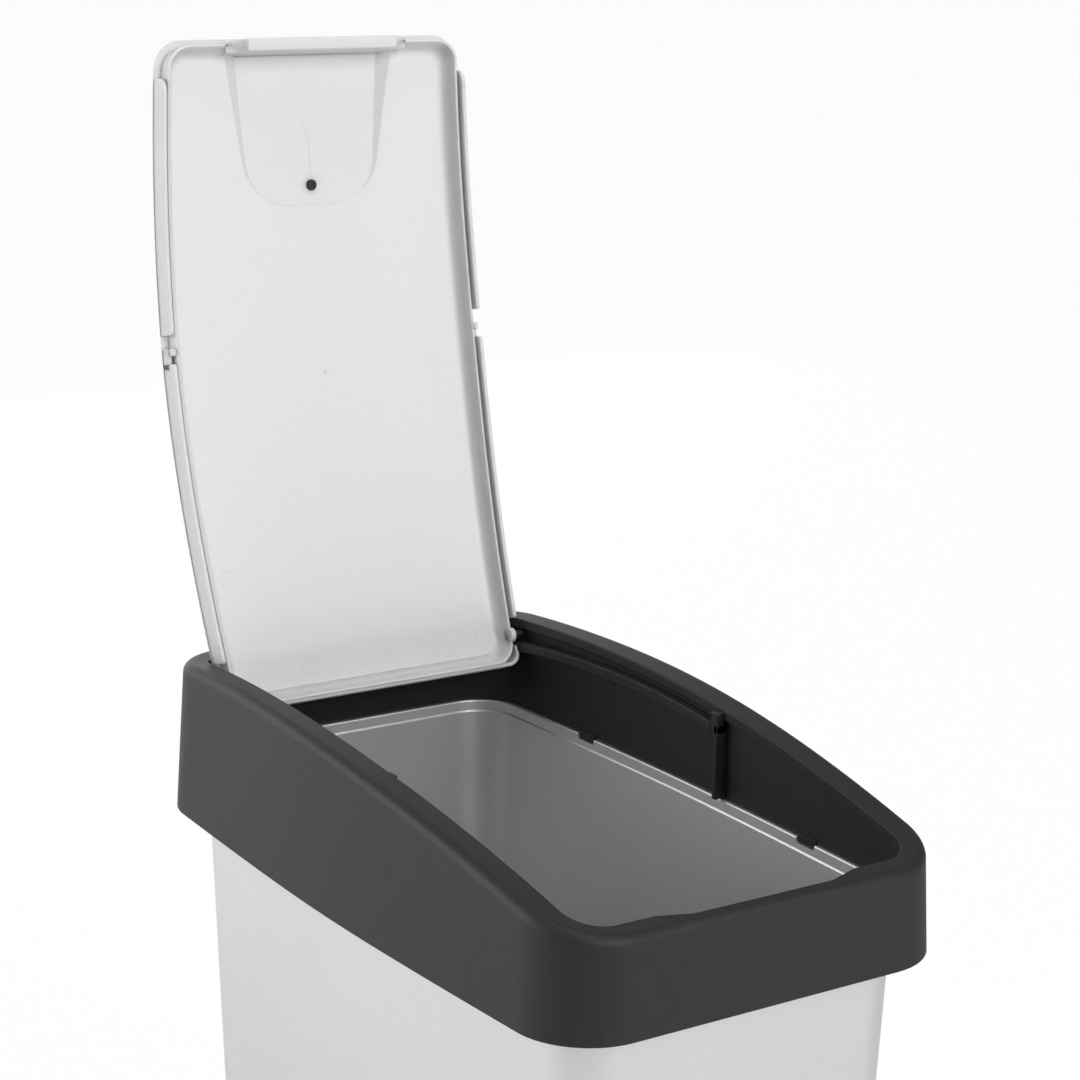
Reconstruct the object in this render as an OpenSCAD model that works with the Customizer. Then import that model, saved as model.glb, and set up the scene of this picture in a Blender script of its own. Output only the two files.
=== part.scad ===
// Countertop waste bin with a flip-up lid: a tapered bucket, a lift-off collar and a curved lid.
// X is the width, Y runs from front to back, Z is up. The origin is the centre of the bucket's base.

/* [Bucket] */
// Height of the bucket to the top of its rim
bucket_h = 285; // [180:5:420]
// Outer width of the bucket at its rim, at the ends of the long sides
bucket_w = 163; // [130:1:220]
// Outer length of the bucket at its rim
bucket_l = 311; // [270:1:360]
// Draft of the bucket's walls, in degrees
bucket_draft = 2.3; // [0.5:0.1:4]
// Corner radius of the bucket in plan
bucket_r = 23; // [14:1:34]
// Wall thickness of the bucket
bucket_wall = 2; // [1.4:0.1:3]
// How far the rolled rim stands out from the wall
bead_out = 3.2; // [2:0.1:5]
// Height of the rolled rim
bead_h = 5; // [3:0.5:10]
// Rounding between the wall and the base
base_r = 8; // [4:1:14]
// Length of each latch notch in the rim
notch_l = 12; // [6:0.5:20]
// Depth of each latch notch, down from the rim
notch_h = 2.4; // [1.2:0.1:3]
// Clearance of the collar's keys in the notches
key_gap = 0.4; // [0.3:0.05:1]

/* [Collar] */
// How far the collar's lower edge stands out from the bucket's long sides
collar_out = 12; // [10.5:0.5:18]
// How far the collar's lower edge stands out from the bucket's ends
collar_end_out = 12.25; // [10.75:0.25:20]
// Corner radius of the collar in plan
collar_r = 32; // [26:1:40]
// How far the middle of each long side of the collar bows out
collar_bow = 6.5; // [4.5:0.5:9]
// Draft of the collar's outer wall, in degrees
collar_draft = 2.5; // [0:0.1:4]
// How far the collar's lower edge hangs below the bucket's rim
collar_overlap = 24.5; // [12:0.5:34]
// Height of the collar at the back, from its lower edge
collar_back_h = 66.7; // [60:0.1:80]
// Height of the collar at the front, from its lower edge
collar_front_h = 41; // [38:0.1:46]
// Rise of the rim's arch over the line from front to back
collar_arch = 15.2; // [12:0.1:18]
// Wall thickness of the collar
collar_wall = 2.4; // [1.8:0.1:3]
// Rounding of the collar's top outer edge
roll_r = 4.6; // [2:0.1:6]

/* [Mouth] */
// How far the mouth's long sides lie inside the bucket's outer face
mouth_in = 2.6; // [2:0.1:6]
// How far the mouth's front edge lies outside the bucket's outer face
mouth_front_out = 0.5; // [-4:0.1:1]
// How far the mouth's back edge lies inside the bucket's outer face
mouth_back_in = 8.5; // [7.5:0.1:14]
// Radius of the mouth's front corners
mouth_r = 15; // [8:1:20]
// Radius of the mouth's back corners, where the open lid stands
mouth_back_r = 7; // [4:1:8]
// How far the rim band falls from its outer edge to the mouth
band_fall = 1.2; // [0.4:0.1:2]
// Depth of the lip that hangs from the mouth's edge
mouth_lip_h = 4.5; // [3:0.1:6]
// Width of the finger cut-out in the front of the mouth
finger_w = 67; // [50:1:84]
// Depth of the finger cut-out, forwards from the mouth's edge
finger_d = 4.8; // [2:0.1:5]
// Width of each sloping end of the finger cut-out
finger_slope = 14; // [4:1:18]

/* [Lid] */
// Gap between the lid and the mouth at the front and the sides
lid_gap = 1.9; // [1:0.1:2.5]
// Gap between the lid and the mouth at the back, where the lid swings through
lid_gap_back = 2.2; // [2:0.1:3.5]
// Radius of the lid's arch, seen from the side
lid_arc_r = 687; // [560:1:900]
// Thickness of the lid's sheet
lid_t = 2; // [1.6:0.1:2.6]
// How far the lid's ends stand above the mouth's edge
lid_proud = 1.05; // [0.4:0.05:2]
// Radius of the lid's front corners and of its rim wall's corners
lid_r = 13; // [8:1:20]
// Radius of the lid's back corners
lid_back_r = 6.5; // [3:0.5:8]
// Distance of the rim wall from the lid's edge
rib_inset = 3; // [2:0.1:4.5]
// Height of the rim wall, from the lid's top
rib_h = 10; // [8:0.1:11]
// Height of the side skirts, from the lid's top
skirt_h = 12.2; // [11:0.1:13]
// Height of the skirt round the back, from the lid's top
back_skirt_h = 9; // [6:0.1:10]
// Where the back skirt ends on each side, from the lid's back end
back_skirt_end = 13.4; // [9:0.1:13.5]
// How far the back skirt leans forwards at its free edge
back_lean = 1.4; // [0:0.1:2]
// Thickness of the skirts
skirt_t = 1.8; // [1.4:0.1:2.2]
// Where each side skirt starts, from the lid's back end
skirt_start = 24; // [20:0.1:30]
// Where each side skirt ends, from the lid's front end
skirt_end = 17; // [16:0.5:30]
// Clearance between the skirts and the ledges that they rest on
seat_gap = 0.4; // [0.3:0.1:1]
// Width of the tongue across the lid's front, at its free end
tongue_w = 76.6; // [50:0.1:80]
// How much wider the tongue is on each side at its root
tongue_draft = 4; // [2:0.1:6]
// Depth of the tongue's free end, from the lid's top
tongue_h = 16.5; // [12:0.1:18]
// Thickness of the tongue from front to back
tongue_t = 5.6; // [4:0.1:7]
// How far the tongue stands out in front of the rim wall
tongue_out = 1.4; // [0.5:0.1:2]

/* [Finger pad] */
// Width of the raised pad's face at the lid's front
pad_w = 73.6; // [60:0.1:84]
// Width of the raised pad's face at its back end
pad_back_w = 63.6; // [50:0.1:72]
// Run of the pad's sloping sides for each millimetre of their rise
pad_slope = 2.06; // [0.6:0.02:2.4]
// Length of the raised pad
pad_l = 70; // [50:1:90]
// Height of the pad at the lid's front
pad_rise = 3.2; // [1.5:0.1:4]
// Height of the pad at its back end
pad_back_rise = 1; // [0.6:0.1:1.5]
// Radius of the pad's back corners
pad_r = 20; // [8:1:28]
// Radius of the hole for the stud in the pad
stud_r = 2.6; // [2:0.1:4]
// Distance of the stud from the pad's back end
stud_in = 8.6; // [7:0.5:20]

/* [Hinge] */
// Distance of the hinge axis from the lid's back end
hinge_in = 15.1; // [14:0.1:16]
// Depth of the hinge axis below the lid's back end
hinge_drop = 7; // [6.8:0.1:8]
// Length of each pin inside its eye
pin_in = 2; // [1.5:0.1:2.2]
// How far the lid opens from closed, in degrees
open_angle = 106.4; // [60:0.2:108]
// Radius of each hinge pin
pin_r = 1.9; // [1.4:0.1:2]
// Radial clearance of the pin in its eye
pin_clear = 0.08; // [0.04:0.01:0.1]
// Outer radius of the eye round each pin
eye_r = 3.4; // [3:0.1:3.6]

/* [Side rail] */
// Height of the strip under each ledge
ledge_h = 4.5; // [3:0.1:6]
// How far each ledge reaches inwards from the mouth's edge
ledge_in = 3.2; // [2.5:0.1:3.8]
// Clearance between the open lid's back skirt and the ledge ends that stop it
stop_gap = 0.3; // [0.2:0.05:0.6]
// Distance of the ledge's front end from the lid's back end
pivot_at = 166.8; // [150:0.1:180]
// Length of the pivot tab at the ledge's front end
tab_l = 5; // [3:0.1:6]
// Height of the pivot tab above the ledge
tab_h = 5; // [3:0.1:6]
// Thickness of the rib below the pivot tab
rib_t = 2.4; // [1.6:0.1:4]
// Clearance between the pivot tab and the skirt on each side of it
tab_gap = 0.6; // [0.4:0.05:1.5]
// Length of the low stretch of skirt behind the pivot tab
low_skirt_l = 6.8; // [5:0.1:9]
// Height of the low stretch of skirt, from the lid's top
low_skirt_h = 7.4; // [5:0.1:9]
// Thickness of the block that joins the low skirt to the rim wall
block_t = 3.2; // [2:0.1:4.5]

/* [Hidden] */
$fn = 64;
side_bow = 4.2;
bow_soft = 66;
corner_steps = 6;
side_steps = 10;
collar_z = bucket_h - collar_overlap;
collar_w = bucket_w + 2 * collar_out;
collar_l = bucket_l + 2 * collar_end_out;
mouth_w = bucket_w - 2 * mouth_in;
mouth_front = bucket_l / 2 + mouth_front_out;
mouth_back = bucket_l / 2 - mouth_back_in;
seat_z = collar_overlap + 0.3;
notch_y = [77, -85];
lip_t = lid_t + 0.3;
lid_w = mouth_w - 2 * lid_gap;
lid_run = mouth_front + mouth_back - lid_gap - lid_gap_back;
mouth_hl = (mouth_front + mouth_back) / 2;
mouth_cy = (mouth_back - mouth_front) / 2;
lid_back_y = mouth_back - lid_gap_back;

// Height of the collar's rim over its lower edge at distance y from the centre: a line plus an arch.
function rim_z(y) = let(u = y / (collar_l / 2))
    (collar_back_h + collar_front_h) / 2 + u * (collar_back_h - collar_front_h) / 2
    + collar_arch * (1 - u * u);

// Closed lid: its top runs on a circle through a point at the back and one at the front.
lid_back_z = rim_z(lid_back_y) - band_fall + lid_proud;
lid_front_z = rim_z(lid_gap - mouth_front) - band_fall + lid_proud;
lid_chord = norm([lid_run, lid_back_z - lid_front_z]);
lid_tilt = atan2(lid_back_z - lid_front_z, lid_run);
lid_half_angle = asin(lid_chord / 2 / lid_arc_r);
lid_l = 2 * lid_half_angle * PI / 180 * lid_arc_r;
arc_back_angle = 90 + lid_tilt - lid_half_angle;
arc_c = [lid_back_y - lid_arc_r * cos(arc_back_angle), lid_back_z - lid_arc_r * sin(arc_back_angle)];
draw_angle = arc_back_angle + lid_half_angle;
hinge_y = lid_back_y - hinge_in;
hinge_z = lid_back_z - hinge_drop;
tongue_back = lid_l - rib_inset + tongue_out - tongue_t;

// Share of the bow at distance y from the middle of a side of half length hl: a soft bend.
function bow_share(y, hl) =
    1 - (sqrt(y * y + bow_soft * bow_soft) - bow_soft) / (sqrt(hl * hl + bow_soft * bow_soft) - bow_soft);

// Plan outline: a rectangle with rounded corners whose long sides bow out. Anticlockwise from the
// front right corner, so that point i and point last - i mirror each other. The corners have
// radius r at the front and rb at the back.
function plan(hw, hl, r, bow, cy = 0, rb = 0) =
    let(
        back_r = rb > 0 ? rb : r,
        front_y = r - hl,
        back_y = hl - back_r,
        front_x = hw + bow * bow_share(front_y, hl) - r,
        back_x = hw + bow * bow_share(back_y, hl) - back_r,
        right = concat(
            [for (i = [0 : corner_steps]) let(a = -90 + 90 * i / corner_steps)
                [front_x + r * cos(a), front_y + r * sin(a)]],
            [for (i = [1 : side_steps]) let(y = front_y + (back_y - front_y) * i / (side_steps + 1))
                [hw + bow * bow_share(y, hl), y]],
            [for (i = [0 : corner_steps]) let(a = 90 * i / corner_steps)
                [back_x + back_r * cos(a), back_y + back_r * sin(a)]]
        ),
        last = len(right) - 1
    )
    [for (i = [0 : 2 * last + 1]) i <= last
        ? [right[i][0], right[i][1] + cy]
        : [-right[2 * last + 1 - i][0], right[2 * last + 1 - i][1] + cy]];

function at_z(outline, z) = [for (p = outline) [p[0], p[1], z]];

// Faces of a skin over rings of n points each. A closed skin joins the last ring to the first.
// An open one is capped with strips that run straight across from each point to its mirror point.
function skin_faces(rings, n, closed) =
    let(bands = closed ? rings : rings - 1)
    concat(
        [for (k = [0 : bands - 1]) for (i = [0 : n - 1])
            let(a = k * n, b = ((k + 1) % rings) * n, j = (i + 1) % n)
            each [[a + i, b + j, a + j], [a + i, b + i, b + j]]],
        closed ? [] : [for (i = [0 : n / 2 - 2])
            each [[i, i + 1, n - 1 - i], [i + 1, n - 2 - i, n - 1 - i]]],
        closed ? [] : let(t = (rings - 1) * n) [for (i = [0 : n / 2 - 2])
            each [[t + i, t + n - 1 - i, t + i + 1], [t + i + 1, t + n - 1 - i, t + n - 2 - i]]]
    );

module skin(rings, closed = false) {
    polyhedron(points = [for (ring = rings) each ring], faces = skin_faces(len(rings), len(rings[0]), closed));
}

// Bar with a four-cornered section that is carried along stations, capped at both ends.
module bar(stations) {
    last = 4 * (len(stations) - 1);
    polyhedron(
        points = [for (s = stations) each s],
        faces = concat(
            [for (k = [0 : len(stations) - 2]) for (i = [0 : 3]) let(a = 4 * k, b = a + 4, j = (i + 1) % 4)
                each [[a + i, b + j, a + j], [a + i, b + i, b + j]]],
            [[0, 1, 2], [0, 2, 3], [last, last + 2, last + 1], [last, last + 3, last + 2]]
        )
    );
}

// Outline of the bucket, inset by d, at height z.
function bucket_ring(d, z) =
    let(lean = (bucket_h - z) * tan(bucket_draft) + d)
    at_z(plan(bucket_w / 2 - lean, bucket_l / 2 - lean, max(bucket_r - lean, 4), side_bow), z);

module bucket() {
    top = bucket_h;
    color([0.8, 0.8, 0.81])
    difference() {
        skin([
            bucket_ring(base_r, 0),
            bucket_ring(base_r * 0.3, base_r * 0.3),
            bucket_ring(0, base_r),
            bucket_ring(0, top - bead_h - bead_out),
            bucket_ring(-bead_out, top - bead_h),
            bucket_ring(-bead_out, top - 0.8),
            bucket_ring(0.8 - bead_out, top),
            bucket_ring(bucket_wall - 0.6, top),
            bucket_ring(bucket_wall, top - 0.6),
            bucket_ring(bucket_wall, top - bead_h),
            bucket_ring(bucket_wall + 0.4, top - bead_h - 0.6),
            bucket_ring(bucket_wall, base_r + bucket_wall),
            bucket_ring(bucket_wall + base_r, bucket_wall + 0.4)
        ]);
        for (side = [-1, 1]) {
            for (y = notch_y) {
                translate([side * (bucket_w / 2 + side_bow), y, top])
                    cube([2 * (bead_out + bucket_wall) + 4, notch_l, 2 * notch_h], center = true);
            }
        }
    }
}

// Outline of the collar's outer wall, inset by d, with its long sides bowed.
function collar_plan(d) = plan(collar_w / 2 - d, collar_l / 2 - d, collar_r - d, collar_bow);

// Outline of the mouth, grown by d.
function mouth_plan(d) =
    plan(mouth_w / 2 + d, mouth_hl + d, mouth_r + d, side_bow, mouth_cy, mouth_back_r + d);

// Foot of the inner wall: it stands on the bucket's rim, d outside the bucket's outer face.
function foot_plan(d) = plan(bucket_w / 2 + d, bucket_l / 2 + d, bucket_r + d, side_bow);

// A ring that follows the rim's arch, dz above or below it.
function rim_ring(outline, dz) = [for (p = outline) [p[0], p[1], rim_z(p[1]) + dz]];

// A ring on the outer wall: inset by the draft at the rim's height plus d, dz above the rim.
function wall_ring(d, dz) =
    [for (p = collar_plan(0)) let(
            rise = rim_z(p[1]) + dz,
            k = 1 - 2 * (rise * tan(collar_draft) + d) / collar_w,
            ky = 1 - 2 * (rise * tan(collar_draft) + d) / collar_l
        ) [p[0] * k, p[1] * ky, rise]];

function roll_ring(a) = wall_ring(roll_r * (1 - cos(a)), roll_r * (sin(a) - 1));

// A point on the closed lid's arc, lowered by w. Every wall goes down in the one direction in which
// the lid leaves its mould: square to the arc's middle.
function arc_point(s, w) =
    let(a = arc_back_angle + s / lid_arc_r * 180 / PI)
    [arc_c[0] + lid_arc_r * cos(a) - w * cos(draw_angle), arc_c[1] + lid_arc_r * sin(a) - w * sin(draw_angle)];

// Half width of the mouth at distance y from the centre.
function mouth_x(y) = mouth_w / 2 + side_bow * bow_share(y - mouth_cy, mouth_hl);

module collar_shell() {
    w = collar_wall;
    skin([
        at_z(collar_plan(0.6), 0),
        at_z(collar_plan(0), 0.6),
        roll_ring(0),
        roll_ring(30),
        roll_ring(60),
        roll_ring(90),
        rim_ring(mouth_plan(0.5), -band_fall),
        rim_ring(mouth_plan(0), -band_fall - 0.5),
        rim_ring(mouth_plan(0), -band_fall - mouth_lip_h),
        rim_ring(mouth_plan(2), -band_fall - mouth_lip_h - 0.6),
        at_z(foot_plan(-0.4), seat_z),
        at_z(foot_plan(w - 0.4), seat_z),
        rim_ring(mouth_plan(2 + w), -band_fall - w - 1),
        wall_ring(w, -roll_r),
        at_z(collar_plan(w), 0)
    ], closed = true);
}

// Strip along one side, from s0 to s1 of the closed lid's arc, that reaches inwards by reach.
module rail(s0, s1, reach) {
    steps = max(1, round((s1 - s0) / 12));
    root = 3;
    seat_w = skirt_h + seat_gap;
    bar([for (i = [0 : steps])
        let(
            s = s0 + (s1 - s0) * i / steps,
            hi = arc_point(s, seat_w),
            lo = arc_point(s, seat_w + ledge_h),
            x = mouth_x(hi[0])
        )
        [[x - reach, lo[0], lo[1]], [x + root, lo[0], lo[1]],
         [x + root, hi[0], hi[1]], [x - reach, hi[0], hi[1]]]]);
}

// Ledge along the back half of one side, on which the lid's skirt rests. Its back end is cut to
// the edge of the open lid's back skirt, so that it stops the lid. Its front end carries the pivot tab.
module side_rail() {
    seat_w = skirt_h + seat_gap;
    front = arc_point(pivot_at, seat_w);
    tab_x = mouth_x(front[0]) - ledge_in;
    difference() {
        rail(hinge_in, pivot_at, ledge_in);
        turned_open()
            translate([mouth_w / 4, lid_back_y, lid_back_z])
            rotate([arc_back_angle - 90, 0, 0])
            translate([0, -40, -back_skirt_h * cos(lid_half_angle) - stop_gap])
            cube([mouth_w, 80, 40]);
    }
    translate([tab_x, front[0] - tab_l, front[1] - ledge_h])
        cube([ledge_in + 3, tab_l + 0.01, ledge_h + tab_h]);
    translate([tab_x, front[0] - tab_l, seat_z])
        cube([ledge_in + 6, rib_t, front[1] - seat_z]);
}

// Keys under the inner wall's foot, one in each notch of the bucket's rim.
module rim_keys() {
    for (y = notch_y) {
        translate([bucket_w / 2 + side_bow * bow_share(y, bucket_l / 2) - bucket_wall + 0.8,
            y - notch_l / 2 + key_gap, collar_overlap - notch_h + key_gap])
            cube([collar_wall + 1, notch_l - 2 * key_gap, notch_h + 1.2]);
    }
}

// Hinge pin on the right wall. Its free end stands in the lid's blind eye.
module hinge_pin() {
    translate([eye_out - pin_in, hinge_y, hinge_z])
        rotate([0, 90, 0])
        cylinder(r = pin_r, h = mouth_x(hinge_y) + 3 - eye_out + pin_in);
}

// Cut through the front of the rim band and the wall below it, with sloping ends.
module finger_cut() {
    half = finger_w / 2;
    translate([0, -mouth_front, seat_z + 4])
        linear_extrude(height = collar_front_h + collar_arch)
        polygon([
            [-half, -finger_d], [half, -finger_d], [half + finger_slope, 0], [half + finger_slope, 2],
            [-half - finger_slope, 2], [-half - finger_slope, 0]
        ]);
}

module collar() {
    color([0.25, 0.25, 0.26])
    translate([0, 0, collar_z])
    difference() {
        union() {
            collar_shell();
            for (side = [0, 1]) {
                mirror([side, 0, 0]) {
                    side_rail();
                    rim_keys();
                    hinge_pin();
                }
            }
        }
        finger_cut();
    }
}

// Point of the closed lid: x across, s along the arc from the back end, w down from the top face.
function lid_point(x, s, w) = let(p = arc_point(s, w)) [x, p[0], p[1]];

// Plan outline of the lid, inset by d, as x and distance s from the back end.
function lid_plan(d) =
    let(back_r = max((d < rib_inset ? lid_back_r : lid_r) - d, 1))
    [for (p = plan(lid_w / 2 - d, lid_l / 2 - d, max(lid_r - d, 1), side_bow, 0, back_r))
        [p[0], lid_l / 2 - p[1]]];

function lid_ring(d, w) = [for (p = lid_plan(d)) lid_point(p[0], p[1], w)];

// Half width of the lid at distance s from its back end.
function lid_x(s) = lid_w / 2 + side_bow * bow_share(s - lid_l / 2, lid_l / 2);

// The eye for the hinge pin: a low boss on the outside of the rim wall.
eye_out = lid_x(hinge_in) - rib_inset + 1;
eye_in = eye_out - 2.6;

module lid_tray() {
    wall_in = rib_inset + lid_t;
    skin([
        lid_ring(wall_in + 3.6, lid_t),
        lid_ring(wall_in + 1.6, lid_t + 1),
        lid_ring(wall_in + 0.6, lid_t + 3),
        lid_ring(wall_in, rib_h),
        lid_ring(rib_inset, rib_h),
        lid_ring(rib_inset, lip_t),
        lid_ring(0, lip_t),
        lid_ring(0, 1.2),
        lid_ring(0.3, 0.4),
        lid_ring(1.2, 0)
    ]);
}

// One stretch of the right skirt, from s0 to s1 along the lid, hanging down to depth h.
module skirt(s0, s1, h) {
    steps = max(2, ceil((s1 - s0) / 14));
    bar([for (i = [0 : steps])
        let(s = s0 + (s1 - s0) * i / steps, x = lid_x(s))
        [lid_point(x - skirt_t, s, h), lid_point(x, s, h), lid_point(x, s, 1), lid_point(x - skirt_t, s, 1)]]);
}

// Skirt round the lid's back end, from the right side past both back corners to the left side.
module back_skirt() {
    n = 2 * (2 * corner_steps + side_steps + 2);
    first = corner_steps + side_steps + 1;
    outer = lid_plan(0);
    inner = lid_plan(skirt_t);
    bar([for (i = [first - 1 : n - first])
        let(
            side = i < n / 2 ? 1 : -1,
            end = i == first - 1 || i == n - first,
            out = end ? [side * lid_x(back_skirt_end), back_skirt_end] : outer[i],
            in = end ? [side * (lid_x(back_skirt_end) - skirt_t), back_skirt_end] : inner[i],
            lean = back_lean * (1 - out[1] / back_skirt_end)
        )
        [lid_point(in[0], in[1], 1), lid_point(out[0], out[1], 1),
         lid_point(out[0], out[1] + lean, back_skirt_h), lid_point(in[0], in[1] + lean, back_skirt_h)]]);
}

// Skirt along the right side, with a slot for the collar's pivot tab. Behind the slot the skirt is
// low, and a block joins it to the rim wall.
module skirts() {
    slot_back = pivot_at - tab_gap;
    slot_front = pivot_at + tab_l + tab_gap;
    skirt(skirt_start, slot_back - low_skirt_l, skirt_h);
    skirt(slot_back - low_skirt_l - 0.5, slot_back, low_skirt_h);
    skirt(slot_front, lid_l - skirt_end, skirt_h);
    bar([for (s = [slot_back - block_t, slot_back])
        let(out = lid_x(s) - 0.6, in = lid_x(s) - rib_inset - 0.5)
        [lid_point(in, s, rib_h), lid_point(out, s, rib_h), lid_point(out, s, 1), lid_point(in, s, 1)]]);
}

// Half width of the finger pad at distance u from its back end, with rounded back corners.
function pad_x(u, grow) =
    let(
        edge = pad_back_w / 2 + (pad_w - pad_back_w) / 2 * u / pad_l + grow,
        c = pad_r + grow - (u + grow)
    )
    c <= 0 ? edge : edge - (pad_r + grow) + sqrt(max(0, pow(pad_r + grow, 2) - c * c));

// Height of the pad's face over the lid's top face at distance u from its back end.
function pad_face(u) = pad_back_rise + (pad_rise - pad_back_rise) * u / pad_l;

// Pad solid between the lid's sheet and the raised face: grow widens it, lift raises its face and
// u1 is its length.
module pad_block(grow, lift, bottom, u1) {
    steps = 14;
    ease = [for (i = [0 : steps]) 1 - cos(90 * i / steps)];
    u0 = -grow + 0.02;
    s0 = lid_l - rib_inset - lid_t - pad_l;
    function station(e) =
        let(
            u = u0 + (u1 - u0) * e,
            rise = pad_face(max(u, 0)) + lift,
            half = pad_x(u, grow)
        )
        let(foot = half + pad_slope * (rise + bottom))
        [lid_point(foot, s0 + u, bottom), lid_point(half, s0 + u, -rise),
         lid_point(-half, s0 + u, -rise), lid_point(-foot, s0 + u, bottom)];
    bar([for (e = ease) station(e)]);
}

// Solid with drafted ends that goes down from depth w0 to w1, between s0 and s1 along the lid.
module drafted_block(half0, half1, s0, s1, w0, w1) {
    bar([for (e = [[half0, w0], [half1, w1]])
        [lid_point(-e[0], s0, e[1]), lid_point(e[0], s0, e[1]),
         lid_point(e[0], s1, e[1]), lid_point(-e[0], s1, e[1])]]);
}

// Tongue under the lid's front: a box that is open at the front, below the lip, for a fingertip.
module tongue() {
    half = tongue_w / 2;
    end = tongue_back + tongue_t;
    drafted_block(half + tongue_draft, half, tongue_back, end, 0.5, tongue_h);
    drafted_block(pad_w / 2 - 0.4, pad_w / 2 - 0.4, tongue_back, lid_l - rib_inset - lid_t, 0.6 - pad_rise, lip_t);
}

module tongue_recess() {
    half = tongue_w / 2 - lid_t;
    drafted_block(half + tongue_draft, half, tongue_back + lid_t, lid_l + 2, lip_t, tongue_h - lid_t);
}

module lid_closed() {
    difference() {
        union() {
            lid_tray();
            back_skirt();
            tongue();
            pad_block(0.6, 0, lid_t / 2, pad_l);
            for (side = [0, 1]) {
                mirror([side, 0, 0]) {
                    skirts();
                    translate([eye_in, hinge_y, hinge_z])
                        rotate([0, 90, 0])
                        cylinder(r = eye_r, h = eye_out - eye_in);
                }
            }
        }
        pad_block(0, -lid_t, lid_t + 1, pad_l + tongue_out + lid_t - tongue_t);
        tongue_recess();
        for (side = [0, 1]) {
            mirror([side, 0, 0])
                translate([eye_out - pin_in - 0.3, hinge_y, hinge_z])
                rotate([0, 90, 0])
                cylinder(r = pin_r + pin_clear, h = eye_out);
        }
        stud_place()
            translate([0, 0, -20])
            cylinder(r = stud_r, h = 40);
    }
}

// Frame of the stud: its origin is on the lid's top face, +Z points out of the lid.
module stud_place() {
    s = lid_l - rib_inset - lid_t - pad_l + stud_in;
    p = lid_point(0, s, 0);
    translate(p)
        rotate([arc_back_angle + s / lid_arc_r * 180 / PI - 90, 0, 0])
        children();
}

// The lid's pieces are modelled closed and turned back about the hinge axis to stand open.
module turned_open() {
    translate([0, hinge_y, hinge_z])
        rotate([-open_angle, 0, 0])
        translate([0, -hinge_y, -hinge_z])
        children();
}

module opened() {
    translate([0, 0, collar_z])
        turned_open()
        children();
}

module lid() {
    color([0.84, 0.85, 0.85])
    opened()
    lid_closed();
}

// Plug in the pad: a low domed head outside and a shaft that ends inside, in one turned profile.
module lid_stud() {
    seat = pad_face(stud_in) + 0.1;
    shaft = stud_r - 0.06;
    color([0.1, 0.1, 0.1])
    opened()
    stud_place()
    rotate_extrude()
    polygon([
        [0, seat + 1.5], [stud_r + 1, seat + 1.1], [stud_r + 1.8, seat + 0.5], [stud_r + 1.8, seat],
        [shaft, seat], [shaft, -lid_t], [shaft - 0.5, -lid_t - 0.6], [0, -lid_t - 0.6]
    ]);
}

bucket();
collar();
lid();
lid_stud();
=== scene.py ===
# Countertop waste bin: a silver bucket, a dark collar that sits on it and a white lid that stands open.
# Sizes are in millimetres, as on a drawing, and a mesh becomes metres when it is made. The finishes, the
# camera, the floor and the lamps are in metres.
import math

import bpy
import numpy as np
from mathutils import Euler, Matrix


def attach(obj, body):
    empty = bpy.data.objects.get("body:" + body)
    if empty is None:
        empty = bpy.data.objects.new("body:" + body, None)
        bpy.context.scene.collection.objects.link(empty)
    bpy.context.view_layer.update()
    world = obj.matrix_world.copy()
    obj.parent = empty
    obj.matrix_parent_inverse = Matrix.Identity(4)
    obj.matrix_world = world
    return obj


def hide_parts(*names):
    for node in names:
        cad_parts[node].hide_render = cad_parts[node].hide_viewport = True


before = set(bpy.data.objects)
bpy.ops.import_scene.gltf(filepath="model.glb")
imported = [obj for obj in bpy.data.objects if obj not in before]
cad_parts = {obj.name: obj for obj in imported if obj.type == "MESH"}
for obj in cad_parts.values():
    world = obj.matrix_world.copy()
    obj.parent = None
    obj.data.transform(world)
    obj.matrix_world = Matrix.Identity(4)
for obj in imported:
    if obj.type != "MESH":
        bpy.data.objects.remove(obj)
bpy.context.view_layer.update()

# Bucket
BUCKET_H, BUCKET_W, BUCKET_L = 285.0, 163.0, 311.0
BUCKET_LEAN = math.tan(math.radians(2.3))
BUCKET_R, BUCKET_LEAST_R, BUCKET_WALL, BEAD_OUT, BEAD_H, BASE_R = 23.0, 4.0, 2.0, 3.2, 5.0, 8.0
NOTCH_L, NOTCH_H, NOTCH_Y = 12.0, 2.4, (77.0, -85.0)
KEY_GAP, KEY_OUT, KEY_TALL = 0.4, 0.8, 1.2
BASE_FLAT, STEP_IN, STEP_LEFT, STEP_FALL, STEP_RUN = 14.0, 0.5, 0.1, 0.7, 40.0
# Collar
COLLAR_W, COLLAR_L, COLLAR_R, COLLAR_BOW = 187.0, 335.5, 32.0, 6.5
COLLAR_LEAN = math.tan(math.radians(2.5))
COLLAR_BACK_H, COLLAR_FRONT_H, COLLAR_ARCH = 66.7, 41.0, 15.2
COLLAR_OVERLAP, COLLAR_WALL, ROLL_R = 24.5, 2.4, 4.6
COLLAR_Z = BUCKET_H - COLLAR_OVERLAP
SEAT_Z = COLLAR_OVERLAP + 0.3
# Mouth
MOUTH_W, MOUTH_FRONT, MOUTH_BACK, MOUTH_R, MOUTH_BACK_R = 157.8, 156.0, 147.0, 15.0, 7.0
MOUTH_HALF, MOUTH_SHIFT = (MOUTH_FRONT + MOUTH_BACK) / 2, (MOUTH_BACK - MOUTH_FRONT) / 2
BAND_FALL, MOUTH_LIP_H = 1.2, 4.5
FINGER_W, FINGER_D, FINGER_SLOPE, FINGER_NEAR, FINGER_LEVEL = 67.0, 4.8, 14.0, 4.0, 0.85
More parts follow.
